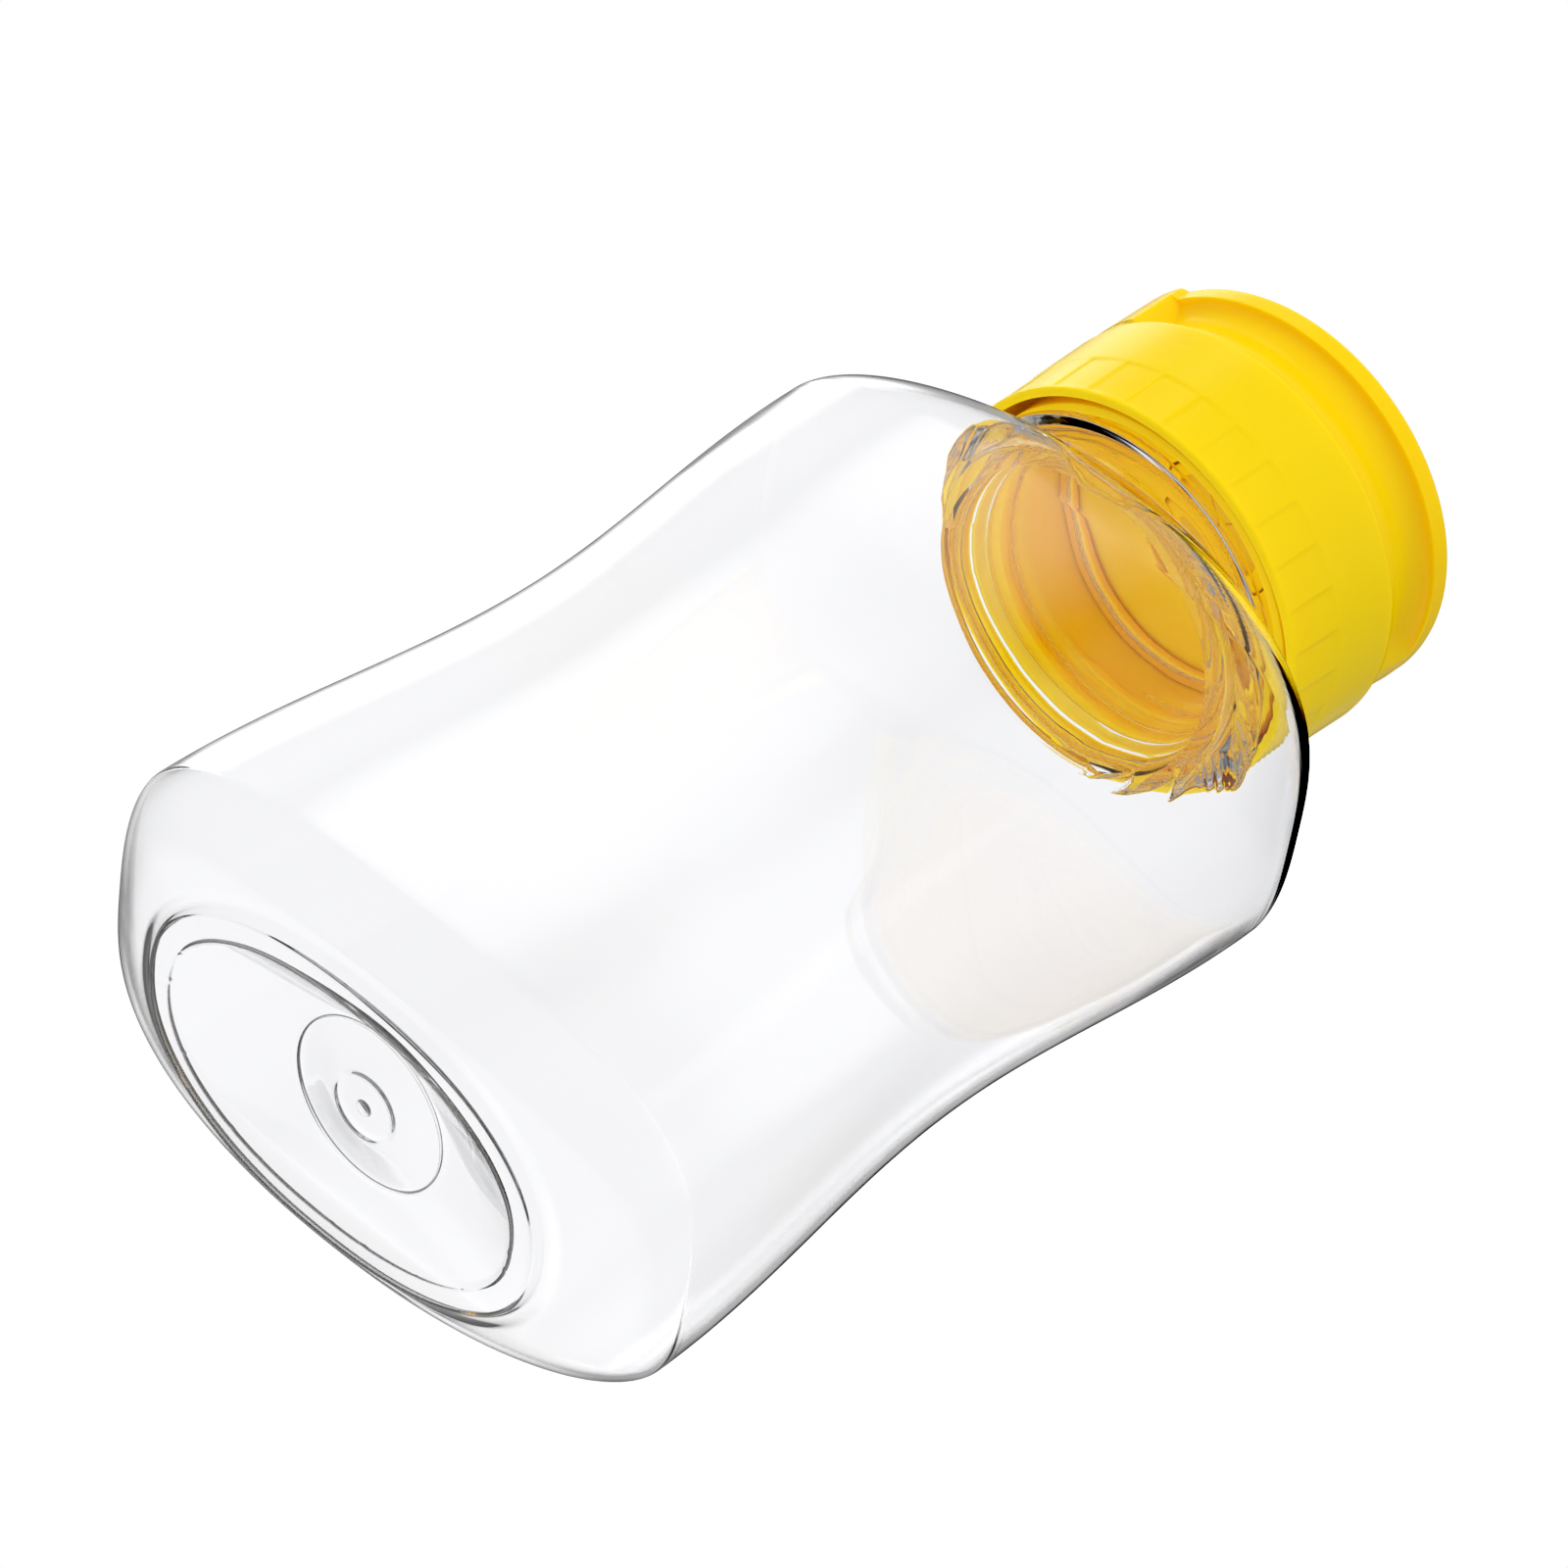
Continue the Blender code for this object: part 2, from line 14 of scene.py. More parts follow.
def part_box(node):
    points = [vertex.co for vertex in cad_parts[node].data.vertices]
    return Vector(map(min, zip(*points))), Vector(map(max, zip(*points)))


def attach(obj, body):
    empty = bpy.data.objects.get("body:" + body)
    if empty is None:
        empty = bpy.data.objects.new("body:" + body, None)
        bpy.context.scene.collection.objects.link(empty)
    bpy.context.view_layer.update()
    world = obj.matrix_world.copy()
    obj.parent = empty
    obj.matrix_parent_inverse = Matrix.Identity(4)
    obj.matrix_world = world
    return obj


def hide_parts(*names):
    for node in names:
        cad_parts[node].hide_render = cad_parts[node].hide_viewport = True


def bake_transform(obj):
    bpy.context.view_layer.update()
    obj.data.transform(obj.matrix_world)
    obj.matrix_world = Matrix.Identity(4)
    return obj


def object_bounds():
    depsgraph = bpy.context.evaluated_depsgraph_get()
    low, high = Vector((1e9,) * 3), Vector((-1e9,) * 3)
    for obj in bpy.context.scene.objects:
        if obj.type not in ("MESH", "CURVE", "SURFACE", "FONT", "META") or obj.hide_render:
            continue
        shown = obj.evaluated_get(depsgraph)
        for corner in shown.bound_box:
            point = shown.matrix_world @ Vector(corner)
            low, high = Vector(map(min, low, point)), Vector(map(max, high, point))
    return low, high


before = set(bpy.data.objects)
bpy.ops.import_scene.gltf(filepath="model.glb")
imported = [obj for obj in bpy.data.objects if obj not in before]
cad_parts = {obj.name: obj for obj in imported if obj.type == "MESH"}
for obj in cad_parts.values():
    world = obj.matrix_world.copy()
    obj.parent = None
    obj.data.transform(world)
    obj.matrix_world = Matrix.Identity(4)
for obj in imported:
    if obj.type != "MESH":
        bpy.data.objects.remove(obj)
cad_low, cad_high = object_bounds()

mm = 0.001

# Places that the frame gives
_, shell_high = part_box("bottle_shell")
cap_low, cap_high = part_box("cap_body")
lid_low, lid_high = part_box("flip_lid")
washer_low, washer_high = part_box("neck_gasket")
_, valve_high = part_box("silicone_valve")
retainer_low, retainer_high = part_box("valve_retainer")
web_low, web_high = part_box("hinge_web")

# Body: half sizes of a rounded rectangle that is waisted like an hourglass
body_half_width = shell_high.x
body_half_depth = shell_high.y
waist_draw_width = 3.8 * mm
waist_draw_depth = 1.7 * mm
shoulder_draw_width = 0.9 * mm
heel_draw_depth = 0.5 * mm
body_squareness = 3.2
heel_height = 8.6 * mm
waist_height = 53.7 * mm
shoulder_height = 94.4 * mm
shoulder_rise = 10.6 * mm
heel_bevel_power = 1.53
shoulder_bevel_power = 1.72

# Foot ring and base
foot_half_width = 24.9 * mm
foot_half_depth = 16.7 * mm
foot_height = 1.2 * mm
foot_width = 3.2 * mm
foot_fillet = 0.7 * mm
foot_step_width = 1.2 * mm
recess_lip = 0.5 * mm
recess_z = 3.9 * mm
recess_flat_radius = 9.4 * mm
recess_line_height = 0.12 * mm
notch_scale = 0.25
notch_level = 0.3
notch_slope = 3
notch_depth_share = 0.006
recess_dome_power = 1.3
gate_dish_radius = 3.6 * mm
gate_ring_depth = 0.13 * mm
gate_drop = 0.6 * mm
gate_radius = 0.9 * mm
gate_length = 0.4 * mm
gate_shift = Vector((0.4, 0.9, 0)) * mm
round_squareness = 2.0
foot_squareness = 2.2

# Walls of the bottle
body_wall = 0.6 * mm
base_wall = 0.7 * mm
heel_wall = 0.5 * mm
foot_wall = 0.5 * mm
heel_wall_height = 12.9 * mm
shoulder_wall = 0.85 * mm
shoulder_wall_start = 75.52 * mm
neck_wall = 1.6 * mm

# Neck finish
neck_radius = 17.7 * mm
neck_root_step = 0.9 * mm
neck_bead_step = 2.7 * mm
neck_bead_height = 1.2 * mm
neck_bead_rise = 3.0 * mm
neck_fillet = 0.5 * mm
mouth_round = 0.4 * mm
thread_pitch = 4.2 * mm
thread_turns = 1.25
thread_depth = 1.15 * mm
thread_root_width = 2.4 * mm
thread_crest_width = 1.0 * mm
thread_start_height = 8.1 * mm
thread_taper_turns = 0.06

# Plastic that the neck left under the shoulder when the bottle was blown. Its ragged edge leans by so
# many degrees a metre, and the edge's points are angles in degrees and radii in millimetres.
edge_round = 0.4 * mm
edge_lean = 5.0 / mm
edge_wander = 0.25 * mm
edge_wander_scale = 0.25
edge_step = 0.24 * mm
edge_step_width = 0.35 * mm
ridge_slope = 0.5
ridge_most = 1.1 * mm
ridge_rise = 2.0 * mm
edge_points = (
    (22, 20.6), (24, 21.0), (29, 18.2), (50, 20.4), (54, 16.6), (66, 19.6), (78, 16.4), (80, 16.3),
    (89, 17.2), (97, 16.6), (113, 16.3), (131, 16.2), (146, 16.2), (162, 16.4), (175, 17.1), (183, 17.2),
    (185, 21.0), (196, 22.1), (204, 21.2), (214, 22.4), (236, 21.0), (260, 21.8), (290, 22.4), (316, 23.6),
    (341, 24.0), (350, 22.9), (5, 21.2), (14, 20.2),
)

# Faint streaks down the bore, which start below the smooth land at the mouth
flow_height = 0.07 * mm
flow_count = 5
flow_twist = 0.012 / mm
mouth_land = 3.0 * mm

# Screw cap
cap_turn = math.radians(31.8)
skirt_wall = 1.0 * mm
skirt_flare = 0.45 * mm
skirt_rim_fillet = 0.4 * mm
skirt_top_fillet = 0.35 * mm
thread_wall = 1.1 * mm
thread_wall_lift = 1.0 * mm
thread_crest_clearance = 0.42 * mm
skirt_space = 1.58 * mm
pad_count = 30
pad_depth = 0.12 * mm
pad_edge_width = 0.3 * mm
pad_lift = 0.5 * mm
pad_height = 6.4 * mm
pad_inset_share = 0.2
pad_angle_shares = (0, 0.1, 0.25, 0.4, 0.55, 0.7, 0.82, 0.9, 0.93, 0.96, 0.98)
collar_bore_radius = 8.0 * mm
collar_wall = 2.0 * mm
collar_height = 3.3 * mm
collar_lip_width = 1.5 * mm
collar_lip_thickness = 1.0 * mm
collar_round = 0.3 * mm
deck_thickness = 1.25 * mm

# Washer, valve and retainer
seat_gap = 0.3 * mm
washer_set_back = 0.2 * mm
valve_flange_width = 1.2 * mm
valve_flange_thickness = 1.0 * mm
valve_film = 0.6 * mm
valve_sag = 0.6 * mm
valve_slit_length = 7.0 * mm
valve_slit_width = 0.12 * mm
valve_slit_angle = math.radians(22.5)
valve_centre_share = 0.03
retainer_width = 1.7 * mm
small_round = 0.15 * mm

# Flip lid. Its top is turned from axis_radius out, too small a hole to be seen.
lid_step = 1.15 * mm
lid_wall = 1.2 * mm
lid_top_thickness = 1.5 * mm
lid_edge_height = 0.6 * mm
cove_depth = 1.4 * mm
cove_height = 5.0 * mm
disc_step = 0.75 * mm
disc_rim_thickness = 2.4 * mm
disc_edge_round = 0.7 * mm
top_land_width = 3.0 * mm
top_recess_depth = 0.4 * mm
top_recess_slope = 0.5 * mm
axis_radius = 0.01 * mm
plug_side_clearance = 0.5 * mm
plug_wall = 1.0 * mm
plug_gap = 0.5 * mm
block_half_angle = math.radians(15.5)
block_inset = 0.1 * mm
block_drop = 0.8 * mm
block_edge_round = 1.0 * mm
lip_edge_round = 4.0 * mm
lip_half_angle = math.radians(17)
lip_drop = 1.4 * mm

# Living hinge
web_thickness = 0.45 * mm
web_half_angle = math.radians(13)
web_groove_share = 0.35
web_inset = 0.15 * mm
web_gap = 0.12 * mm
web_side_gap_angle = math.radians(1.0)

# Radii and heights that follow
waist_half_width = body_half_width - waist_draw_width
waist_half_depth = body_half_depth - waist_draw_depth
shoulder_half_width = body_half_width - shoulder_draw_width
heel_half_depth = body_half_depth - heel_draw_depth
neck_root_radius = neck_radius + neck_root_step
neck_bead_radius = neck_radius + neck_bead_step
neck_bore_radius = neck_radius - neck_wall
neck_edge_radius = neck_root_radius - neck_wall
thread_crest_radius = neck_radius + thread_depth
nut_bore_radius = thread_crest_radius + thread_crest_clearance
nut_outer_radius = nut_bore_radius + thread_wall
skirt_top_radius = nut_outer_radius + skirt_space + skirt_wall
skirt_rim_radius = skirt_top_radius - skirt_flare
lid_radius = skirt_top_radius - lid_step
disc_radius = skirt_top_radius - disc_step
pocket_radius = skirt_top_radius - web_inset - web_thickness - web_gap
collar_radius = collar_bore_radius + collar_wall
collar_lip_radius = collar_bore_radius - collar_lip_width
plug_radius = collar_lip_radius - plug_side_clearance
valve_radius = collar_bore_radius - seat_gap

neck_base_z = shoulder_height + shoulder_rise
bore_foot_z = neck_base_z + neck_bead_rise
ridge_low_z = shoulder_height + ridge_rise
mouth_z = shell_high.z
skirt_rim_z = cap_low.z
deck_top_z = cap_high.z - collar_height
deck_under_z = deck_top_z - deck_thickness
lid_z = lid_low.z
lid_top_z = lid_high.z
valve_top_z = valve_high.z
valve_flange_z = valve_top_z - valve_flange_thickness
thread_start_z = neck_base_z + thread_start_height
hinge_z = (web_low.z + web_high.z) / 2
web_half_height = (web_high.z - web_low.z) / 2

# Mesh density and shading. base_side_rows is how many rows of the side the base's inside takes over,
# and most_reach_share is how much of an edge one fillet may take.
weld = 0.002 * mm
shell_segments = 400
ring_segments = 360
washer_segments = 180
retainer_segments = 144
valve_segments = 96
thread_rows = 84
bore_rows = 16
ledge_rows = 28
ridge_parts = 4
base_side_rows = 2
longest_cap_span = 0.3 * mm
longest_lid_span = 0.35 * mm
flank_steps = 6
flank_step_angle = math.radians(0.31)
most_reach_share = 0.49
crease_angle = math.radians(40)
web_crease_angle = math.radians(50)
shell_crease_angle = math.radians(60)

# Surfaces
clear_ripple_height = 0.02 * mm
grain_height = 0.004 * mm
glow_depth = 2.0 * mm
roughness_spread = 0.04

# Camera of the photograph. Its sensor width and focal length are in millimetres.
photo_sensor_width = 36
photo_focal_length = 157.5
photo_place = Vector((281.2, -448.8, -325.6)) * mm
photo_aim = Vector((-26.8, 37.5, 96.1)) * mm
photo_roll = math.radians(56.4)

# Floor
floor_radius = 0.45
floor_fade_start = 0.08
floor_segments = 96
floor_tone = 0.93

# Levels of white that rays see in the room: those that light a piece from outside and from inside the
# clear plastic, and those that were mirrored. A ray that has bounced is past some_depth.
room_level = 0.72
inside_level = 1.0
mirrored_level = 0.4
some_depth = 0.5

# Patches of the room that a mirrored ray sees: azimuth, elevation, half angle and soft edge in degrees,
# and the change there, first where the outer face mirrors it and then where it was mirrored inside
mirrored_patches = (
    (235, 41, 5, 9, 0.5, 0.4),
    (276, 45, 16, 8, 0.35, 0.3),
    (231, 38, 2, 8, 1.0, 0.8),
    (268, 30, 16, 8, -0.4, -0.4),
    (45, 42, 22, 18, -0.3, 0.3),
    (70, 36, 12, 20, 0.1, 0.1),
    (195, 36, 8, 18, 0.5, 0.5),
    (172, 38, 6, 14, 1.4, 1.4),
    (215, 58, 8, 8, 0.1, 0.1),
    (98, 60, 12, 10, -0.7, -0.7),
    (122, 36, 10, 8, -0.45, -0.45),
    (150, 26, 12, 10, 0.35, 0.35),
    (118, 12, 8, 8, 0.4, 0.5),
    (105, -45, 38, 15, 1.0, -0.1),
    (128, -12, 14, 10, 0.0, -0.4),
)


def mix(start, end, share):
    return start + (end - start) * share


def smooth(share):
    """0 below 0, 1 above 1 and an S curve between."""
    share = min(1, max(0, share))
    return share * share * (3 - 2 * share)


def new_object(name, data):
    """Makes an object and links it to the scene."""
    made = bpy.data.objects.new(name, data)
    bpy.context.scene.collection.objects.link(made)
    return made


def finish_mesh(name, verts, faces, crease):
    """Makes a closed mesh object with its faces turned outwards."""
    mesh = bpy.data.meshes.new(name)
    mesh.from_pydata(verts, [], faces)
    bm = bmesh.new()
    bm.from_mesh(mesh)
    bmesh.ops.remove_doubles(bm, verts=bm.verts, dist=weld)
    bmesh.ops.recalc_face_normals(bm, faces=bm.faces)
    bm.to_mesh(mesh)
    bm.free()
    mesh.shade_smooth()
    mesh.set_sharp_from_angle(angle=crease)
    return new_object(name, mesh)


def skin(name, rings, closed_path=True, crease=crease_angle):
    """Joins rings of points by quads. Open paths have their end rings closed by a fan."""
    count = len(rings[0])
    verts = [point for ring in rings for point in ring]
    faces = []
    pairs = len(rings) if closed_path else len(rings) - 1
    for row in range(pairs):
        low = row * count
        high = (row + 1) % len(rings) * count
        for i in range(count):
            j = (i + 1) % count
            faces.append((low + i, low + j, high + j, high + i))
    if not closed_path:
        for row in (0, len(rings) - 1):
            ring = rings[row]
            middle = sum((Vector(point) for point in ring), Vector()) / count
            verts.append(middle)
            centre = len(verts) - 1
            faces += [(row * count + i, row * count + (i + 1) % count, centre) for i in range(count)]
    return finish_mesh(name, verts, faces, crease)


def rounded(outline, steps=4):
    """A closed outline of (radius, height, fillet) corners with each corner drawn as an arc."""
    points = []
    corners = [Vector(corner[:2]) for corner in outline]
    for i, corner in enumerate(corners):
        fillet = outline[i][2]
        before, after = corners[i - 1] - corner, corners[(i + 1) % len(corners)] - corner
        if fillet == 0 or before.length == 0 or after.length == 0:
            points.append(tuple(corner))
            continue
        reach = fillet / math.tan(before.angle(after) / 2)
        reach = min(reach, before.length * most_reach_share, after.length * most_reach_share)
        start = corner + before.normalized() * reach
        end = corner + after.normalized() * reach
        for step in range(steps + 1):
            share = step / steps
            bend = mix(mix(start, corner, share), mix(corner, end, share), share)
            points.append(tuple(bend))
    return points


def divided(points, longest):
    """Adds points along the outline's long straight stretches."""
    dense = []
    for i, point in enumerate(points):
        start, end = Vector(point), Vector(points[(i + 1) % len(points)])
        parts = max(1, math.ceil((end - start).length / longest))
        dense += [tuple(mix(start, end, part / parts)) for part in range(parts)]
    return dense


def polar(radius, angle, z):
    return Vector((radius * math.cos(angle), radius * math.sin(angle), z))


def turned(name, outline, angles, shape=None):
    """Turns a closed outline of (radius, height) points. shape may move each point by its angle."""
    rings = []
    for radius, height in outline:
        ring = []
        for angle in angles:
            r, z = shape(angle, radius, height) if shape else (radius, height)
            ring.append(polar(r, angle, z))
        rings.append(ring)
    return skin(name, rings)


def even_angles(count):
    return [math.tau * i / count for i in range(count)]


def quarter_arc(steps, first=1):
    """Sine and cosine at even steps of a quarter turn."""
    angles = [math.pi / 2 * step / steps for step in range(first, steps + 1)]
    return [(math.sin(angle), math.cos(angle)) for angle in angles]


def angle_between(angle, centre):
    """The distance between two angles, from 0 to pi."""
    gap = (angle - centre) % math.tau
    return min(gap, math.tau - gap)


def superellipse(half_width, half_depth, squareness, height):
    """One ring of the bottle: an oval at squareness 2, a rounded rectangle above it."""
    ring = []
    for angle in even_angles(shell_segments):
        c, s = math.cos(angle), math.sin(angle)
        reach = (abs(c) ** squareness + abs(s) ** squareness) ** (-1 / squareness)
        ring.append(Vector((half_width * reach * c, half_depth * reach * s, height)))
    return ring


def circle(radius, height):
    return superellipse(radius, radius, round_squareness, height)


def waisted(end_size, waist_size, height, end_height):
    """A half size of the body at a height, on a cosine from its waist to the heel or the shoulder."""
    share = (height - waist_height) / (end_height - waist_height)
    return mix(waist_size, end_size, (1 - math.cos(math.pi * min(1, share))) / 2)


def body_section(height):
    if height < waist_height:
        ends = (body_half_width, heel_half_depth, heel_height)
    else:
        ends = (shoulder_half_width, body_half_depth, shoulder_height)
    half_width = waisted(ends[0], waist_half_width, height, ends[2])
    half_depth = waisted(ends[1], waist_half_depth, height, ends[2])
    return half_width, half_depth


def bevel_shares(power, steps):
    """Outward and upward shares along a bevel, from where it starts to where it meets the side."""
    return [
        (sine ** (2 / power), 1 - cosine ** (2 / power))
        for sine, cosine in quarter_arc(steps, first=0)[:-1]
    ]


def side_rings(heel_steps=30, body_steps=90, shoulder_steps=40):
    """The outside from the heel's start at the foot ring to the neck's root."""
    rings = []
    start_width = foot_half_width + foot_step_width
    start_depth = foot_half_depth + foot_step_width
    for outward, upward in bevel_shares(heel_bevel_power, heel_steps):
        rings.append(superellipse(
            mix(start_width, body_half_width, outward),
            mix(start_depth, heel_half_depth, outward),
            mix(foot_squareness, body_squareness, outward),
            mix(foot_height, heel_height, upward),
        ))
    for step in range(body_steps):
        height = mix(heel_height, shoulder_height, step / body_steps)
        rings.append(superellipse(*body_section(height), body_squareness, height))
    for outward, upward in reversed(bevel_shares(shoulder_bevel_power, shoulder_steps)):
        rings.append(superellipse(
            mix(neck_root_radius, shoulder_half_width, outward),
            mix(neck_root_radius, body_half_depth, outward),
            mix(round_squareness, body_squareness, outward),
            mix(neck_base_z, shoulder_height, upward),
        ))
    return rings


def catmull_rom(t, before, start, end, after):
    """A value between start at t = 0 and end at t = 1, on a curve that its neighbours shape."""
    slope = end - before
    square = 2 * before - 5 * start + 4 * end - after
    cube = 3 * start - before - 3 * end + after
    return 0.5 * (2 * start + slope * t + square * t**2 + cube * t**3)


def smooth_path(points, steps):
    """A Catmull-Rom curve through points of any size, with steps spans between each two."""
    path = []
    last = len(points) - 1
    for i in range(last):
        around = (points[max(0, i - 1)], points[i], points[i + 1], points[min(last, i + 2)])
        for step in range(steps):
            path.append(tuple(catmull_rom(step / steps, *values) for values in zip(*around)))
    path.append(tuple(points[-1]))
    return path


def off_centre(ring, share):
    """Moves a ring towards the gate, which sits a little off the bottle's axis."""
    return [point + gate_shift * share for point in ring]


def recess_profile(lift):
    """(radius, height) from the middle of the base to the dome's flat edge, lift above the outside."""
    return [
        (gate_dish_radius * 0.55, recess_z - gate_drop + lift),
        (gate_dish_radius * 0.9, recess_z - gate_drop + lift),
        (gate_dish_radius * 1.1, recess_z - gate_drop - gate_ring_depth + lift),
        (recess_flat_radius * 0.7, recess_z - gate_drop * 0.4 + lift),
        (recess_flat_radius * 0.94, recess_z + lift),
        (recess_flat_radius * 0.97, recess_z - recess_line_height + lift),
    ]


def dome_rings(outer_width, outer_depth, steps=26):
    """The recess from its flat middle out to the foot ring."""
    rings = []
    for step in range(steps + 1):
        share = step / steps
        rings.append(off_centre(superellipse(
            mix(recess_flat_radius, outer_width, share),
            mix(recess_flat_radius, outer_depth, share),
            mix(round_squareness, foot_squareness, smooth(share)),
            mix(recess_lip, recess_z, 1 - share**recess_dome_power),
        ), 1 - share))
    return rings


def notched(ring, share):
    """Sets small notches into the recess's lip, where the mould's parts met."""
    points = []
    for i, point in enumerate(ring):
        place = noise.noise(Vector((i * notch_scale, 0, 0)))
        cut = smooth((place - notch_level) / (1 - notch_level) * notch_slope)
        points.append(point * (1 - notch_depth_share * share * cut))
    return points


def base_rings():
    """The underside, from the gate in the middle out to the foot ring's outer foot."""
    rings = []
    for sine, cosine in quarter_arc(steps=6):
        rings.append(circle(gate_radius * sine, recess_z - gate_drop - gate_length * cosine))
    for radius, z in smooth_path(recess_profile(0), steps=6):
        rings.append(circle(radius, z))
    rings = [off_centre(ring, 1) for ring in rings]
    foot_inset = foot_width + foot_fillet / 3
    rings += dome_rings(foot_half_width - foot_inset, foot_half_depth - foot_inset)
    outline = [
        (-foot_width, recess_lip * 0.4),
        (-foot_width + foot_fillet * 0.3, recess_lip * 0.08),
        (-foot_width + foot_fillet, 0),
        (-foot_fillet * 1.2, 0),
        (-foot_fillet * 0.5, foot_fillet * 0.2),
        (-foot_fillet * 0.1, foot_fillet * 0.7),
        (foot_step_width * 0.25, foot_height * 0.86),
    ]
    for out, z in smooth_path(outline, steps=4):
        ring = superellipse(foot_half_width + out, foot_half_depth + out, foot_squareness, max(0, z))
        rings.append(notched(ring, smooth(1 - abs(out + foot_width) / foot_fillet)))
    return rings


def ring_normals(rings, row):
    """Outward unit normals of the points of one ring, from its neighbours."""
    count = len(rings[row])
    below = rings[max(0, row - 1)]
    above = rings[min(len(rings) - 1, row + 1)]
    normals = []
    for i in range(count):
        around = rings[row][(i + 1) % count] - rings[row][i - 1]
        upward = above[i] - below[i]
        normals.append(around.cross(upward).normalized())
    return normals


def inner_base_rings():
    """The inside of the base. It follows the foot ring and the recess, so both show as fine lines."""
    outside = base_rings()
    rings = []
    for row in range(len(outside) - 1, 0, -1):
        if outside[row][0].x < recess_flat_radius + gate_shift.x:
            break
        rings.append([
            point - normal * mix(foot_wall, base_wall, smooth(point.z / recess_z))
            for point, normal in zip(outside[row], ring_normals(outside, row))
        ])
    for radius, z in reversed(smooth_path(recess_profile(base_wall), steps=3)):
        rings.append(off_centre(circle(radius, z), 1))
    return rings


def thread_height(angle, z):
    """How far the helical ridge stands out of the neck at a place, as a share of its depth."""
    best = 0
    for lap in (0, 1):
        turns = (angle % math.tau) / math.tau + lap
        if turns > thread_turns:
            continue
        away = abs(z - thread_start_z - thread_pitch * turns)
        rise = (thread_root_width / 2 - away) / ((thread_root_width - thread_crest_width) / 2)
        taper = min(turns, thread_turns - turns) / thread_taper_turns
        best = max(best, smooth(rise) * smooth(taper))
    return best


def neck_rings():
    """The outside of the neck: root, bead under the cap, thread land and rounded mouth."""
    bead_low = neck_base_z + neck_bead_rise
    bead_high = bead_low + neck_bead_height
    bead_slope = neck_bead_radius - neck_root_radius
    outline = [
        (mix(neck_root_radius, neck_bead_radius, 1 - cosine), mix(neck_base_z, bead_low, sine))
        for sine, cosine in quarter_arc(steps=10)[:-1]
    ]
    outline += rounded([
        (neck_root_radius, bead_low, 0),
        (neck_bead_radius, bead_low, neck_fillet / 2),
        (neck_bead_radius, bead_high, neck_fillet / 2),
        (neck_radius, bead_high + bead_slope / 2, neck_fillet),
        (neck_radius, mouth_z, 0),
    ])[1:-1]
    rings = [circle(radius, z) for radius, z in outline]
    land_z = outline[-1][1]
    top_z = mouth_z - mouth_round
    for step in range(1, thread_rows + 1):
        z = mix(land_z, top_z, step / thread_rows)
        rings.append([
            polar(neck_radius + thread_depth * thread_height(angle, z), angle, z)
            for angle in even_angles(shell_segments)
        ])
    for sine, cosine in quarter_arc(steps=5):
        rings.append(circle(neck_radius - mouth_round * (1 - cosine), top_z + mouth_round * sine))
    return rings


def ragged_edge(angle, radius):
    """Radius at which the neck's plastic ends on the shoulder. The edge leans over as it goes out."""
    place = (math.degrees(angle) - edge_lean * (radius - neck_edge_radius)) % 360
    for i, (start, reach) in enumerate(edge_points):
        stop, next_reach = edge_points[(i + 1) % len(edge_points)]
        share = (place - start) % 360 / ((stop - start) % 360)
        if share < 1:
            wander = edge_wander * noise.noise(Vector((place * edge_wander_scale, 0, 0)))
            return mix(reach, next_reach, share) * mm + wander


def ridge_height(angle, radius):
    """How much the neck's plastic thickens the shoulder.

    It is a wedge that starts with a fine step and rises towards the neck.
    """
    inside = ragged_edge(angle, radius) - radius
    step = edge_step * smooth(inside / edge_step_width + 0.5)
    return step + min(ridge_most, max(0, inside) * ridge_slope)


def wall_thickness(point):
    """The blown wall: thinnest at the heel, and thicker where the neck's plastic spread."""
    if point.z < heel_wall_height:
        return mix(heel_wall, body_wall, smooth(point.z / heel_wall_height))
    rise = (point.z - shoulder_wall_start) / (shoulder_height - shoulder_wall_start)
    wall = mix(body_wall, shoulder_wall, smooth(rise))
    if point.z > shoulder_height:
        wall += ridge_height(math.atan2(point.y, point.x), math.hypot(point.x, point.y))
    return wall


def flow_line(angle, z):
    """Faint streaks down the bore, left by the plastic as it was drawn out."""
    place = polar(1, angle + (mouth_z - z) * flow_twist, 0)
    return flow_height * noise.noise(place * flow_count)


def along_path(path, share):
    """A point along a few joined spans, each with an equal share."""
    place = share * (len(path) - 1)
    span = min(int(place), len(path) - 2)
    return mix(path[span], path[span + 1], place - span)


def bore_rings():
    """The inside of the neck, from the rounded mouth down to the height of the bead."""
    rings = []
    for sine, cosine in quarter_arc(steps=5, first=0):
        radius = neck_bore_radius + mouth_round * (1 - sine)
        rings.append(circle(radius, mouth_z - mouth_round * (1 - cosine)))
    for step in range(1, bore_rows + 1):
        z = mix(mouth_z - mouth_round, bore_foot_z, step / bore_rows)
        plain = smooth((mouth_z - z) / mouth_land)
        rings.append([
            polar(neck_bore_radius + flow_line(angle, z) * plain, angle, z)
            for angle in even_angles(shell_segments)
        ])
    return rings


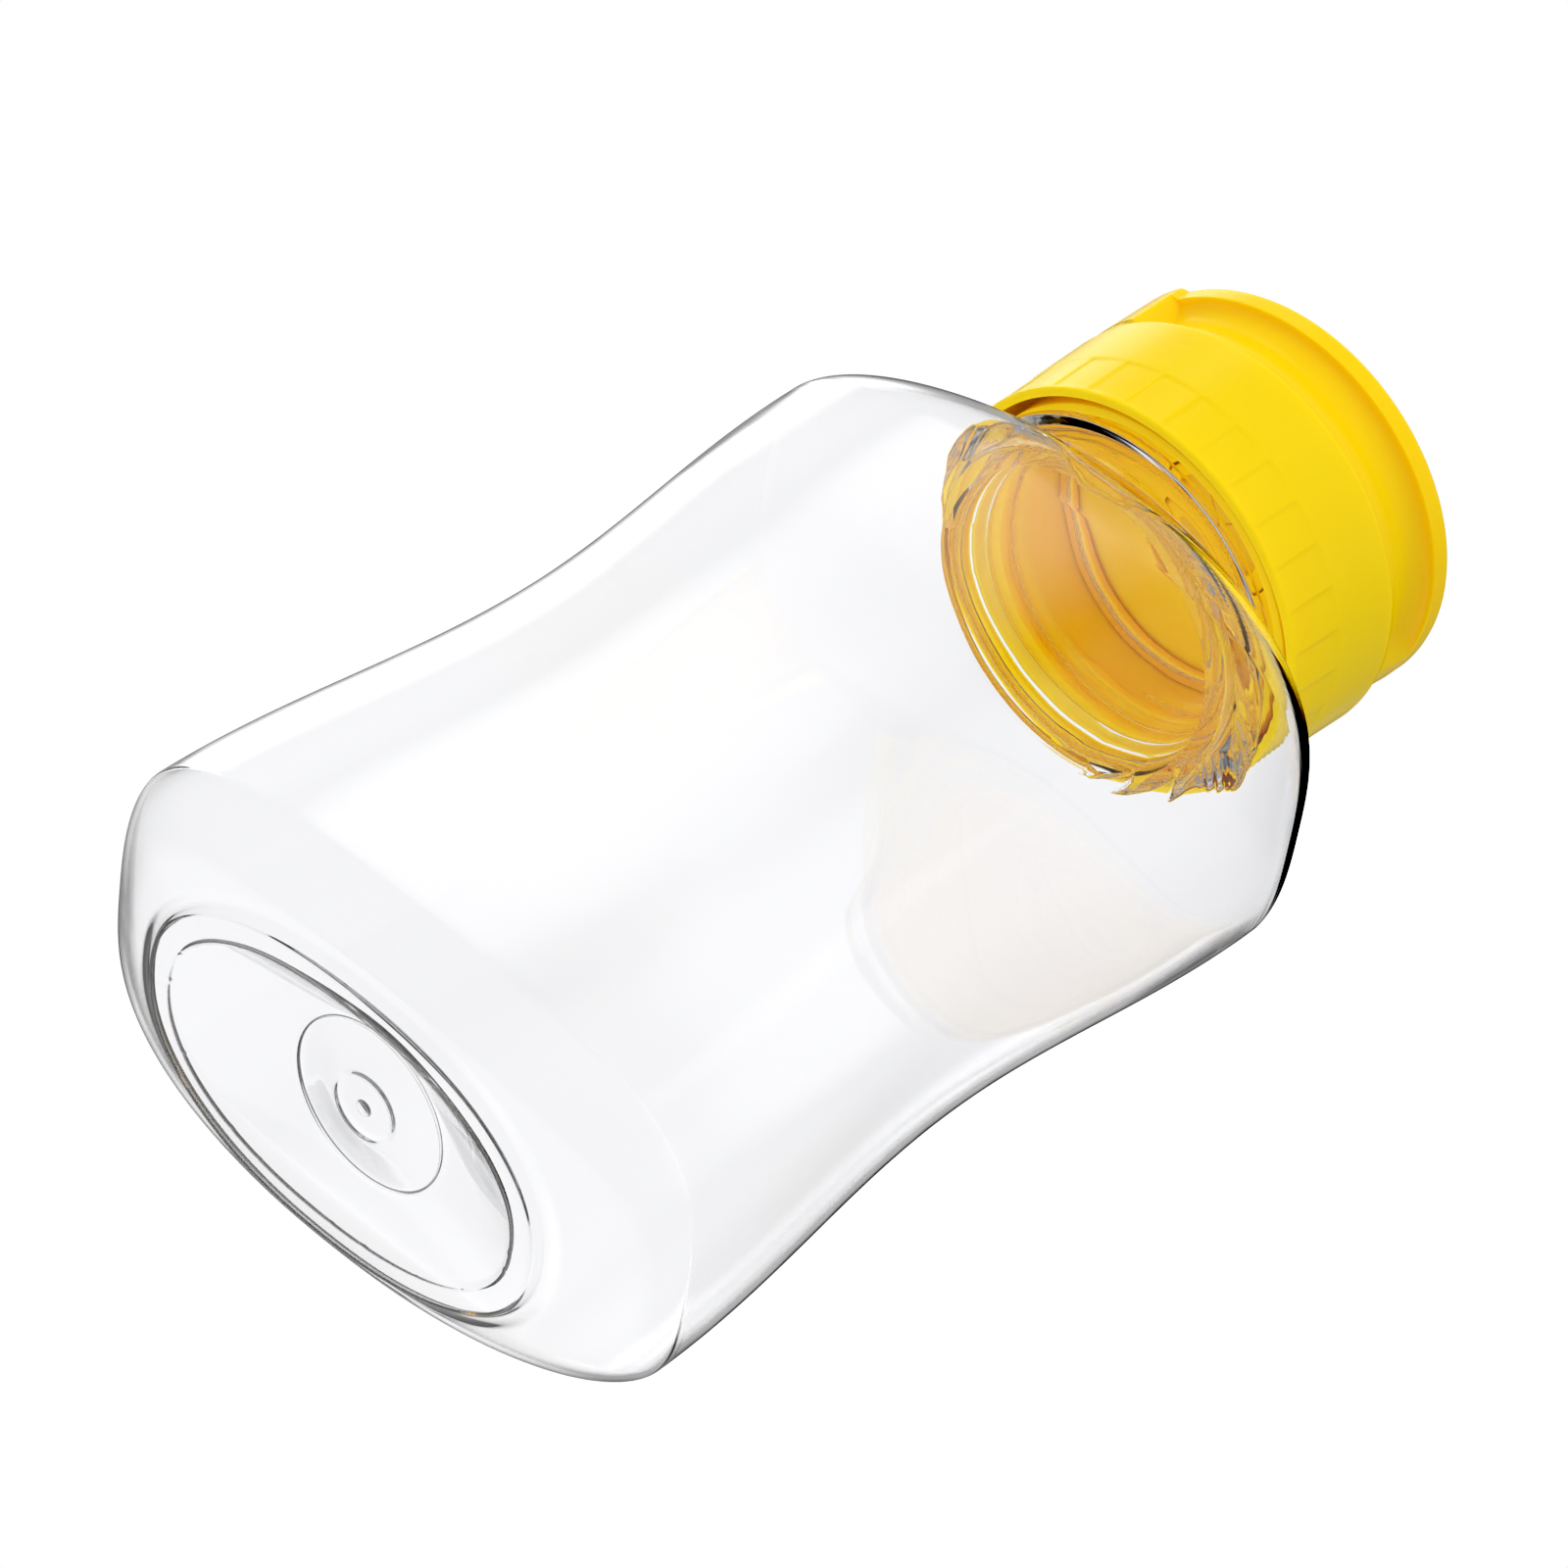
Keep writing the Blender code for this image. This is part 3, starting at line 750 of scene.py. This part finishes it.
def ledge_rings():
    """The inside from the bore's foot out under the shoulder, with the neck's ragged plastic."""
    ceiling_z = neck_base_z - shoulder_wall
    path = (
        Vector((neck_bore_radius, bore_foot_z)),
        Vector((mix(neck_bore_radius, neck_edge_radius, 0.9), ceiling_z + edge_round)),
        Vector((neck_edge_radius, ceiling_z)),
        Vector((neck_edge_radius + edge_round, ceiling_z)),
        Vector((neck_root_radius, ceiling_z)),
    )
    rings = []
    for step in range(1, ledge_rows + 1):
        ring = []
        for angle in even_angles(shell_segments):
            radius, z = along_path(path, step / ledge_rows)
            low = smooth((bore_foot_z - z) / (bore_foot_z - ceiling_z))
            radius += flow_line(angle, z) * (1 - low)
            z -= ridge_height(angle, radius) * low
            ring.append(polar(radius, angle, z))
        rings.append(ring)
    return rings


def wall_rings(sides):
    """The inner face of the shoulder, body and heel, down to where the inside of the base starts."""
    rings = []
    for row in range(len(sides) - 1, base_side_rows, -1):
        normals = ring_normals(sides, row)
        next_normals = ring_normals(sides, row - 1)
        parts = ridge_parts if sides[row][0].z > ridge_low_z else 1
        for part in range(parts):
            ring = []
            for i, point in enumerate(sides[row]):
                outer = point.lerp(sides[row - 1][i], part / parts)
                normal = normals[i].lerp(next_normals[i], part / parts)
                ring.append(outer - normal * wall_thickness(outer))
            rings.append(ring)
    return rings


def bottle_shell():
    sides = side_rings()
    outside = base_rings() + sides + neck_rings()
    inside = bore_rings() + ledge_rings() + wall_rings(sides) + inner_base_rings()
    return skin("clear_bottle", outside + inside, closed_path=False, crease=shell_crease_angle)


def in_pocket(angle, z):
    """True where the hinge strip lies in the outer face of the cap and the lid."""
    across = angle_between(angle, math.pi) < web_half_angle + web_side_gap_angle
    return across and abs(z - hinge_z) < web_half_height + seat_gap + small_round


def cap_shape(angle, radius, z):
    """Cuts the grip pads and the hinge pocket and raises the thread on the cap's turned form."""
    if radius > skirt_rim_radius - skirt_wall / 2:
        share = angle * pad_count / math.tau % 1
        edge_share = pad_edge_width / (radius * math.tau / pad_count)
        tooth = min(share, (1 - share) / edge_share)
        low = skirt_rim_z + pad_lift
        end = min(z - low, low + pad_height - z)
        radius -= pad_depth * (1 + pad_inset_share - tooth) * smooth(end / pad_edge_width)
        if in_pocket(angle, z):
            radius = min(radius, pocket_radius)
    elif abs(radius - nut_bore_radius) < small_round and z < deck_under_z - small_round:
        offset = thread_pitch / 2 - thread_crest_width / 4
        radius -= thread_depth * thread_height(angle, z + offset)
    return radius, z


def cap_body():
    collar_top = deck_top_z + collar_height
    lip_under_z = collar_top - collar_lip_thickness
    skirt_inner_top = skirt_top_radius - skirt_wall
    skirt_inner_rim = skirt_rim_radius - skirt_wall
    wall_foot_z = skirt_rim_z + thread_wall_lift
    outline = rounded([
        (skirt_inner_rim, skirt_rim_z, skirt_rim_fillet / 2),
        (skirt_rim_radius, skirt_rim_z, skirt_rim_fillet),
        (skirt_top_radius, deck_top_z, skirt_top_fillet),
        (collar_radius, deck_top_z, collar_round),
        (collar_radius, collar_top, collar_round),
        (collar_lip_radius, collar_top, collar_round),
        (collar_lip_radius, lip_under_z, small_round),
        (collar_bore_radius, lip_under_z, small_round),
        (collar_bore_radius, deck_under_z, small_round),
        (nut_bore_radius, deck_under_z, small_round),
        (nut_bore_radius, wall_foot_z, small_round),
        (nut_outer_radius, wall_foot_z, small_round),
        (nut_outer_radius, deck_under_z, small_round),
        (skirt_inner_top, deck_under_z, small_round),
    ])
    pad_pitch = math.tau / pad_count
    angles = [pad_pitch * (number + share) for number in range(pad_count) for share in pad_angle_shares]
    return turned("screw_cap", divided(outline, longest_cap_span), angles, cap_shape)


def cove_points(steps):
    """The concave band round the lid, from its lower edge up to the underside of the disc's rim."""
    low_z = lid_z + lid_edge_height
    deep_z = lid_z + cove_height
    high_z = lid_top_z - disc_rim_thickness
    deep_radius = lid_radius - cove_depth
    points = []
    for step in range(1, steps + 1):
        share = step / steps
        bow = (1 - math.cos(math.pi * share)) / 2
        points.append((mix(lid_radius, deep_radius, bow), mix(low_z, deep_z, share), 0))
    for sine, cosine in quarter_arc(steps):
        radius = mix(deep_radius, disc_radius - disc_edge_round / 2, 1 - cosine)
        points.append((radius, mix(deep_z, high_z, sine), 0))
    return points


def lid_shape(angle, radius, z):
    """Raises the hinge block and the front lip out of the lid's turned form."""
    outer = radius > lid_radius - cove_depth - small_round
    if outer and z < lid_top_z - disc_edge_round / 2:
        block = skirt_top_radius - block_inset
        side = (block_half_angle - angle_between(angle, math.pi)) * radius / block_edge_round
        top = (lid_top_z - block_drop - z) / block_edge_round
        radius = max(radius, mix(radius, block, smooth(side + 0.5) * smooth(top + 1)))
        side = (lip_half_angle - angle_between(angle, 0)) * radius / lip_edge_round
        rise = (z - lid_z) / (lid_top_z - lip_drop - lid_z)
        lip = mix(lid_radius, disc_radius, min(1, rise))
        radius = max(radius, mix(radius, lip, smooth(side + 0.5)))
        if in_pocket(angle, z):
            radius = min(radius, pocket_radius)
    return radius, z


def flip_lid():
    recess_radius = disc_radius - disc_edge_round - top_land_width
    ceiling_z = lid_top_z - top_recess_depth - lid_top_thickness
    inner_radius = lid_radius - lid_wall
    inner_cove_radius = inner_radius - cove_depth
    plug_z = valve_top_z + plug_gap
    outline = rounded([
        (inner_radius, lid_z, small_round),
        (lid_radius, lid_z, small_round),
        (lid_radius, lid_z + lid_edge_height, 0),
        *cove_points(steps=14),
        (disc_radius, lid_top_z - disc_rim_thickness, disc_edge_round),
        (disc_radius, lid_top_z, disc_edge_round),
        (recess_radius, lid_top_z, small_round),
        (recess_radius - top_recess_slope, lid_top_z - top_recess_depth, small_round),
        (axis_radius, lid_top_z - top_recess_depth, 0),
        (axis_radius, ceiling_z, 0),
        (plug_radius - plug_wall, ceiling_z, small_round),
        (plug_radius - plug_wall, plug_z, small_round),
        (plug_radius, plug_z, small_round),
        (plug_radius, ceiling_z, small_round),
        (inner_cove_radius, ceiling_z, lid_edge_height),
        (inner_cove_radius, lid_z + cove_height - lid_wall, lid_wall),
        (inner_radius, lid_z + lid_edge_height, lid_edge_height),
    ], steps=6)
    angles = even_angles(ring_segments)
    for flank in (math.pi - block_half_angle, math.pi + block_half_angle, -lip_half_angle, lip_half_angle):
        for step in range(-flank_steps, flank_steps + 1):
            angles.append((flank + flank_step_angle * step) % math.tau)
    angles = sorted(set(angles))
    return turned("flip_top_lid", divided(outline, longest_lid_span), angles, lid_shape)


def hinge_strip():
    """The thin strip between the cap and the lid, which is in one with both and bends on the real closure.
    Here it is fixed in place and follows neither.
    """
    outer = skirt_top_radius - web_inset
    steps, rows = 40, 28
    rings = []
    for row in range(rows + 1):
        z = mix(hinge_z - web_half_height, hinge_z + web_half_height, row / rows)
        thin = math.cos(math.pi / 2 * (z - hinge_z) / web_half_height) ** 2
        inner = outer - web_thickness * (1 - web_groove_share * thin)
        ring = []
        for radius, direction in ((outer, 1), (inner, -1)):
            for step in range(steps + 1):
                angle = math.pi + direction * web_half_angle * (2 * step / steps - 1)
                ring.append(polar(radius, angle, z))
        rings.append(ring)
    return skin("living_hinge", rings, closed_path=False, crease=web_crease_angle)


def washer():
    inner, outer = neck_bore_radius + washer_set_back, nut_bore_radius - seat_gap
    low, high = washer_low.z, washer_high.z
    outline = rounded([
        (inner, low, small_round),
        (outer, low, small_round),
        (outer, high, small_round),
        (inner, high, small_round),
    ])
    return turned("sealing_washer", outline, even_angles(washer_segments))


def retainer():
    inner = valve_radius - retainer_width
    low, high = retainer_low.z, retainer_high.z
    outline = rounded([
        (inner, low, small_round),
        (valve_radius, low, small_round * 2),
        (valve_radius, high, small_round),
        (inner, high, small_round),
    ])
    return turned("retainer_ring", outline, even_angles(retainer_segments))


def apply_modifiers(piece):
    """Bakes a piece's modifiers into its mesh."""
    bpy.context.view_layer.update()
    graph = bpy.context.evaluated_depsgraph_get()
    made = bpy.data.meshes.new_from_object(piece.evaluated_get(graph))
    piece.modifiers.clear()
    piece.data = made


def cut_slit(piece, angle):
    """Cuts a straight slit through the middle of the valve's film."""
    bm = bmesh.new()
    bmesh.ops.create_cube(bm, size=1)
    size = Vector((valve_slit_length, valve_slit_width, valve_sag + valve_film * 2))
    bmesh.ops.scale(bm, vec=size, verts=bm.verts)
    bmesh.ops.rotate(bm, matrix=Matrix.Rotation(angle, 3, "Z"), verts=bm.verts)
    bmesh.ops.translate(bm, vec=Vector((0, 0, valve_flange_z)), verts=bm.verts)
    mesh = bpy.data.meshes.new("slit")
    bm.to_mesh(mesh)
    bm.free()
    slit = new_object("slit", mesh)
    cut = piece.modifiers.new("slit", "BOOLEAN")
    cut.operation = "DIFFERENCE"
    cut.solver = "EXACT"
    cut.object = slit
    apply_modifiers(piece)
    bpy.data.objects.remove(slit, do_unlink=True)


def valve():
    """A thin dished film in a flange, slit crosswise."""
    film_radius = valve_radius - valve_flange_width
    film_top_z = valve_flange_z + valve_film
    steps = 8
    top = []
    under = []
    for step in range(1, steps + 1):
        share = mix(1, valve_centre_share, step / steps)
        sag = valve_sag * (1 - share**2)
        top.append((film_radius * share, film_top_z - sag, 0))
        under.append((film_radius * share, film_top_z - sag - valve_film, 0))
    outline = rounded([
        (valve_radius, valve_flange_z, small_round),
        (valve_radius, valve_top_z, small_round),
        (film_radius, valve_top_z, small_round),
        (film_radius, film_top_z, small_round),
        *top,
        *reversed(under),
        (film_radius, valve_flange_z, small_round),
    ])
    piece = turned("slit_valve", outline, even_angles(valve_segments))
    for number in range(2):
        cut_slit(piece, valve_slit_angle + math.pi / 2 * number)
    piece.data.set_sharp_from_angle(angle=crease_angle)
    return piece


# Materials

def new_material(name):
    material = bpy.data.materials.new(name)
    material.use_nodes = True
    return material, material.node_tree, material.node_tree.nodes["Principled BSDF"]


def add_node(tree, kind, values=(), **settings):
    node = tree.nodes.new(kind)
    for name, value in settings.items():
        setattr(node, name, value)
    for name, value in values:
        node.inputs[name].default_value = value
    return node


def feed(tree, socket, value):
    """Links another node's output to a socket, or sets the socket to a plain value."""
    if isinstance(value, bpy.types.NodeSocket):
        tree.links.new(value, socket)
    else:
        socket.default_value = value


def noise_of(tree, scale, detail=2.0, roughness=0.5):
    """A noise texture in the piece's own coordinates."""
    place = add_node(tree, "ShaderNodeTexCoord")
    texture = add_node(tree, "ShaderNodeTexNoise", (
        ("Scale", scale),
        ("Detail", detail),
        ("Roughness", roughness),
    ))
    feed(tree, texture.inputs["Vector"], place.outputs["Object"])
    return texture.outputs["Fac"]


def between(tree, value, low, high, start=0.0, end=1.0):
    """Maps a value from start..end to low..high."""
    ramp = add_node(tree, "ShaderNodeMapRange", (
        ("From Min", start),
        ("From Max", end),
        ("To Min", low),
        ("To Max", high),
    ))
    feed(tree, ramp.inputs["Value"], value)
    return ramp.outputs["Result"]


def math_node(tree, operation, first, second, clamp=False):
    """One step of arithmetic on two values, each a number or another node's output."""
    node = add_node(tree, "ShaderNodeMath", operation=operation, use_clamp=clamp)
    feed(tree, node.inputs[0], first)
    feed(tree, node.inputs[1], second)
    return node.outputs[0]


def choice(tree, factor, low, high):
    """low where the factor is 0 and high where it is 1."""
    node = add_node(tree, "ShaderNodeMix", data_type="FLOAT")
    feed(tree, node.inputs["Factor"], factor)
    feed(tree, node.inputs["A"], low)
    feed(tree, node.inputs["B"], high)
    return node.outputs["Result"]


def bump(tree, shader, value, height):
    node = add_node(tree, "ShaderNodeBump", (("Distance", height),))
    feed(tree, node.inputs["Height"], value)
    feed(tree, shader.inputs["Normal"], node.outputs["Normal"])


def clear_plastic():
    material, tree, shader = new_material("clear_pet")
    shader.inputs["Base Color"].default_value = (0.991, 0.992, 1.0, 1)
    shader.inputs["Transmission Weight"].default_value = 1.0
    shader.inputs["IOR"].default_value = 1.4
    specks = noise_of(tree, scale=900, detail=3.0, roughness=0.7)
    dullness = between(tree, specks, low=0.0, high=0.06, start=0.62, end=0.75)
    feed(tree, shader.inputs["Roughness"], dullness)
    bump(tree, shader, noise_of(tree, scale=90), clear_ripple_height)
    return material


def moulded_plastic(name, light, dark, roughness):
    """Yellow plastic that glows a little from inside, with a faint flow of tone over it."""
    material, tree, shader = new_material(name)
    colours = add_node(tree, "ShaderNodeMix", data_type="RGBA")
    feed(tree, colours.inputs["A"], (*dark, 1))
    feed(tree, colours.inputs["B"], (*light, 1))
    feed(tree, colours.inputs["Factor"], noise_of(tree, scale=60, detail=3.0))
    feed(tree, shader.inputs["Base Color"], colours.outputs["Result"])
    shader.inputs["Specular IOR Level"].default_value = 0.12
    shader.inputs["Subsurface Weight"].default_value = 0.5
    shader.inputs["Subsurface Radius"].default_value = (1.0, 0.7, 0.1)
    shader.inputs["Subsurface Scale"].default_value = glow_depth
    low, high = roughness - roughness_spread, roughness + roughness_spread
    feed(tree, shader.inputs["Roughness"], between(tree, noise_of(tree, scale=300), low, high))
    bump(tree, shader, noise_of(tree, scale=1500, detail=3.0), grain_height)
    return material


# Studio

def photo_camera():
    data = bpy.data.cameras.new("photo_camera")
    data.sensor_width = photo_sensor_width
    data.lens = photo_focal_length
    data.clip_start, data.clip_end = 0.01, 20
    camera = new_object("photo_camera", data)
    turn = (photo_aim - photo_place).to_track_quat("-Z", "Y") @ Quaternion((0, 0, 1), photo_roll)
    camera.matrix_world = Matrix.Translation(photo_place) @ turn.to_matrix().to_4x4()
    bpy.context.scene.camera = camera


def light_paths():
    """Enough bounces for light to pass through the clear wall, into the cap and out, without blurring."""
    cycles = bpy.context.scene.cycles
    cycles.max_bounces = 32
    cycles.transmission_bounces = 32
    cycles.glossy_bounces = 12
    cycles.diffuse_bounces = 8
    cycles.blur_glossy = 0


def patch_level(tree, direction, inside, patch):
    """The change that one soft round patch of the room makes to what a mirrored ray sees."""
    azimuth, elevation, half_angle, soft, outer_change, inner_change = patch
    a, e = math.radians(azimuth), math.radians(elevation)
    middle = (math.cos(a) * math.cos(e), math.sin(a) * math.cos(e), math.sin(e))
    towards = add_node(tree, "ShaderNodeVectorMath", operation="DOT_PRODUCT")
    feed(tree, towards.inputs[0], direction)
    feed(tree, towards.inputs[1], middle)
    ramp = add_node(tree, "ShaderNodeMapRange", (
        ("From Min", math.cos(math.radians(half_angle + soft))),
        ("From Max", math.cos(math.radians(half_angle))),
        ("To Min", 0.0),
    ), interpolation_type="SMOOTHSTEP")
    feed(tree, ramp.inputs["Value"], towards.outputs["Value"])
    feed(tree, ramp.inputs["To Max"], choice(tree, inside, outer_change, inner_change))
    return ramp.outputs["Result"]


def world_light():
    """A white room, which mirrored rays see darker and patched, and rays that light a piece see plain."""
    world = bpy.data.worlds.new("white_room")
    bpy.context.scene.world = world
    world.use_nodes = True
    tree = world.node_tree
    background = tree.nodes["Background"]
    background.inputs["Color"].default_value = (1, 1, 1, 1)
    path = add_node(tree, "ShaderNodeLightPath").outputs
    direction = add_node(tree, "ShaderNodeTexCoord").outputs["Generated"]
    seen = math_node(tree, "MAXIMUM", path["Is Camera Ray"], path["Is Glossy Ray"])
    seen = math_node(tree, "MAXIMUM", seen, path["Is Transmission Ray"])
    mirrored = math_node(tree, "GREATER_THAN", path["Glossy Depth"], some_depth)
    inside = math_node(tree, "GREATER_THAN", path["Transmission Depth"], some_depth)
    lighting = math_node(tree, "GREATER_THAN", path["Diffuse Depth"], some_depth)
    level = mirrored_level
    for patch in mirrored_patches:
        level = math_node(tree, "ADD", patch_level(tree, direction, inside, patch), level)
    view_level = choice(tree, mirrored, 1.0, level)
    light_level = choice(tree, inside, room_level, inside_level)
    direct = math_node(tree, "SUBTRACT", seen, lighting, clamp=True)
    feed(tree, background.inputs["Strength"], choice(tree, direct, light_level, view_level))


def softbox(name, direction, distance, width, height, power):
    """A rectangular lamp that lights the pieces but isn't seen itself, in no mirror either."""
    data = bpy.data.lights.new(name, "AREA")
    data.shape = "RECTANGLE"
    data.size, data.size_y = width, height
    data.energy = power
    lamp = new_object(name, data)
    aim = Vector((0, 0, (cad_low.z + cad_high.z) / 2))
    away = Vector(direction).normalized()
    lamp.location = aim + away * distance
    lamp.rotation_mode = "QUATERNION"
    lamp.rotation_quaternion = away.to_track_quat("Z", "Y")
    lamp.visible_camera = False
    lamp.visible_transmission = False
    lamp.visible_glossy = False


def pale_floor():
    """A pale disc under the foot ring, seen only from above, that keeps the shadow and fades into white."""
    bm = bmesh.new()
    bmesh.ops.create_circle(bm, cap_ends=True, segments=floor_segments, radius=floor_radius)
    mesh = bpy.data.meshes.new("floor")
    bm.to_mesh(mesh)
    bm.free()
    floor = new_object("floor", mesh)
    floor.location.z = cad_low.z
    material, tree, _ = new_material("pale_floor")
    tree.nodes.clear()
    pale = add_node(tree, "ShaderNodeBsdfDiffuse", (("Color", (floor_tone, floor_tone, floor_tone, 1)),))
    clear = add_node(tree, "ShaderNodeBsdfTransparent")
    path = add_node(tree, "ShaderNodeLightPath").outputs
    side = add_node(tree, "ShaderNodeNewGeometry").outputs
    distance = add_node(tree, "ShaderNodeVectorMath", operation="LENGTH")
    feed(tree, distance.inputs[0], add_node(tree, "ShaderNodeTexCoord").outputs["Object"])
    front = math_node(tree, "SUBTRACT", path["Is Camera Ray"], side["Backfacing"], clamp=True)
    near = between(tree, distance.outputs["Value"], 1.0, 0.0, floor_fade_start, floor_radius)
    blend = add_node(tree, "ShaderNodeMixShader")
    feed(tree, blend.inputs["Fac"], math_node(tree, "MULTIPLY", front, near))
    feed(tree, blend.inputs[1], clear.outputs[0])
    feed(tree, blend.inputs[2], pale.outputs[0])
    out = add_node(tree, "ShaderNodeOutputMaterial")
    feed(tree, out.inputs["Surface"], blend.outputs[0])
    mesh.materials.append(material)


photo_camera()
light_paths()
world_light()
softbox("rim_box", direction=(-0.79, 0.17, 0.59), distance=0.9, width=0.6, height=0.4, power=3)
softbox("key_box", direction=(0.09, -0.85, 0.3), distance=1.0, width=0.6, height=0.6, power=4)
pale_floor()

pet = clear_plastic()
cap_yellow = moulded_plastic("cap_yellow", (1.0, 0.67, 0.003), (0.99, 0.65, 0.002), roughness=0.25)
lid_yellow = moulded_plastic("lid_yellow", (1.0, 0.65, 0.002), (0.99, 0.63, 0.001), roughness=0.25)
soft_yellow = moulded_plastic("soft_liner", (0.98, 0.60, 0.02), (0.96, 0.57, 0.015), roughness=0.55)
amber = moulded_plastic("silicone", (0.97, 0.58, 0.03), (0.95, 0.55, 0.02), roughness=0.45)

cap_pieces = [
    (cap_body(), "cap_body", "cap", "cap_yellow", cap_yellow),
    (flip_lid(), "flip_lid", "lid", "lid_yellow", lid_yellow),
    (hinge_strip(), "hinge_web", None, "lid_yellow", lid_yellow),
    (washer(), "neck_gasket", "washer", "soft_liner", soft_yellow),
    (retainer(), "valve_retainer", "cap", "cap_yellow", cap_yellow),
    (valve(), "silicone_valve", "cap", "silicone", amber),
]
for piece, node, body, slot, material in cap_pieces:
    piece.data.transform(Matrix.Rotation(cap_turn, 4, "Z"))
    piece.data.materials.clear()
    piece.data.materials.append(material)
    if body:
        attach(piece, body)
    else:
        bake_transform(piece)
    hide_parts(node)

shell = bottle_shell()
shell.data.materials.append(pet)
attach(shell, "bottle")
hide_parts("bottle_shell")

bpy.context.scene.view_settings.view_transform = "Standard"
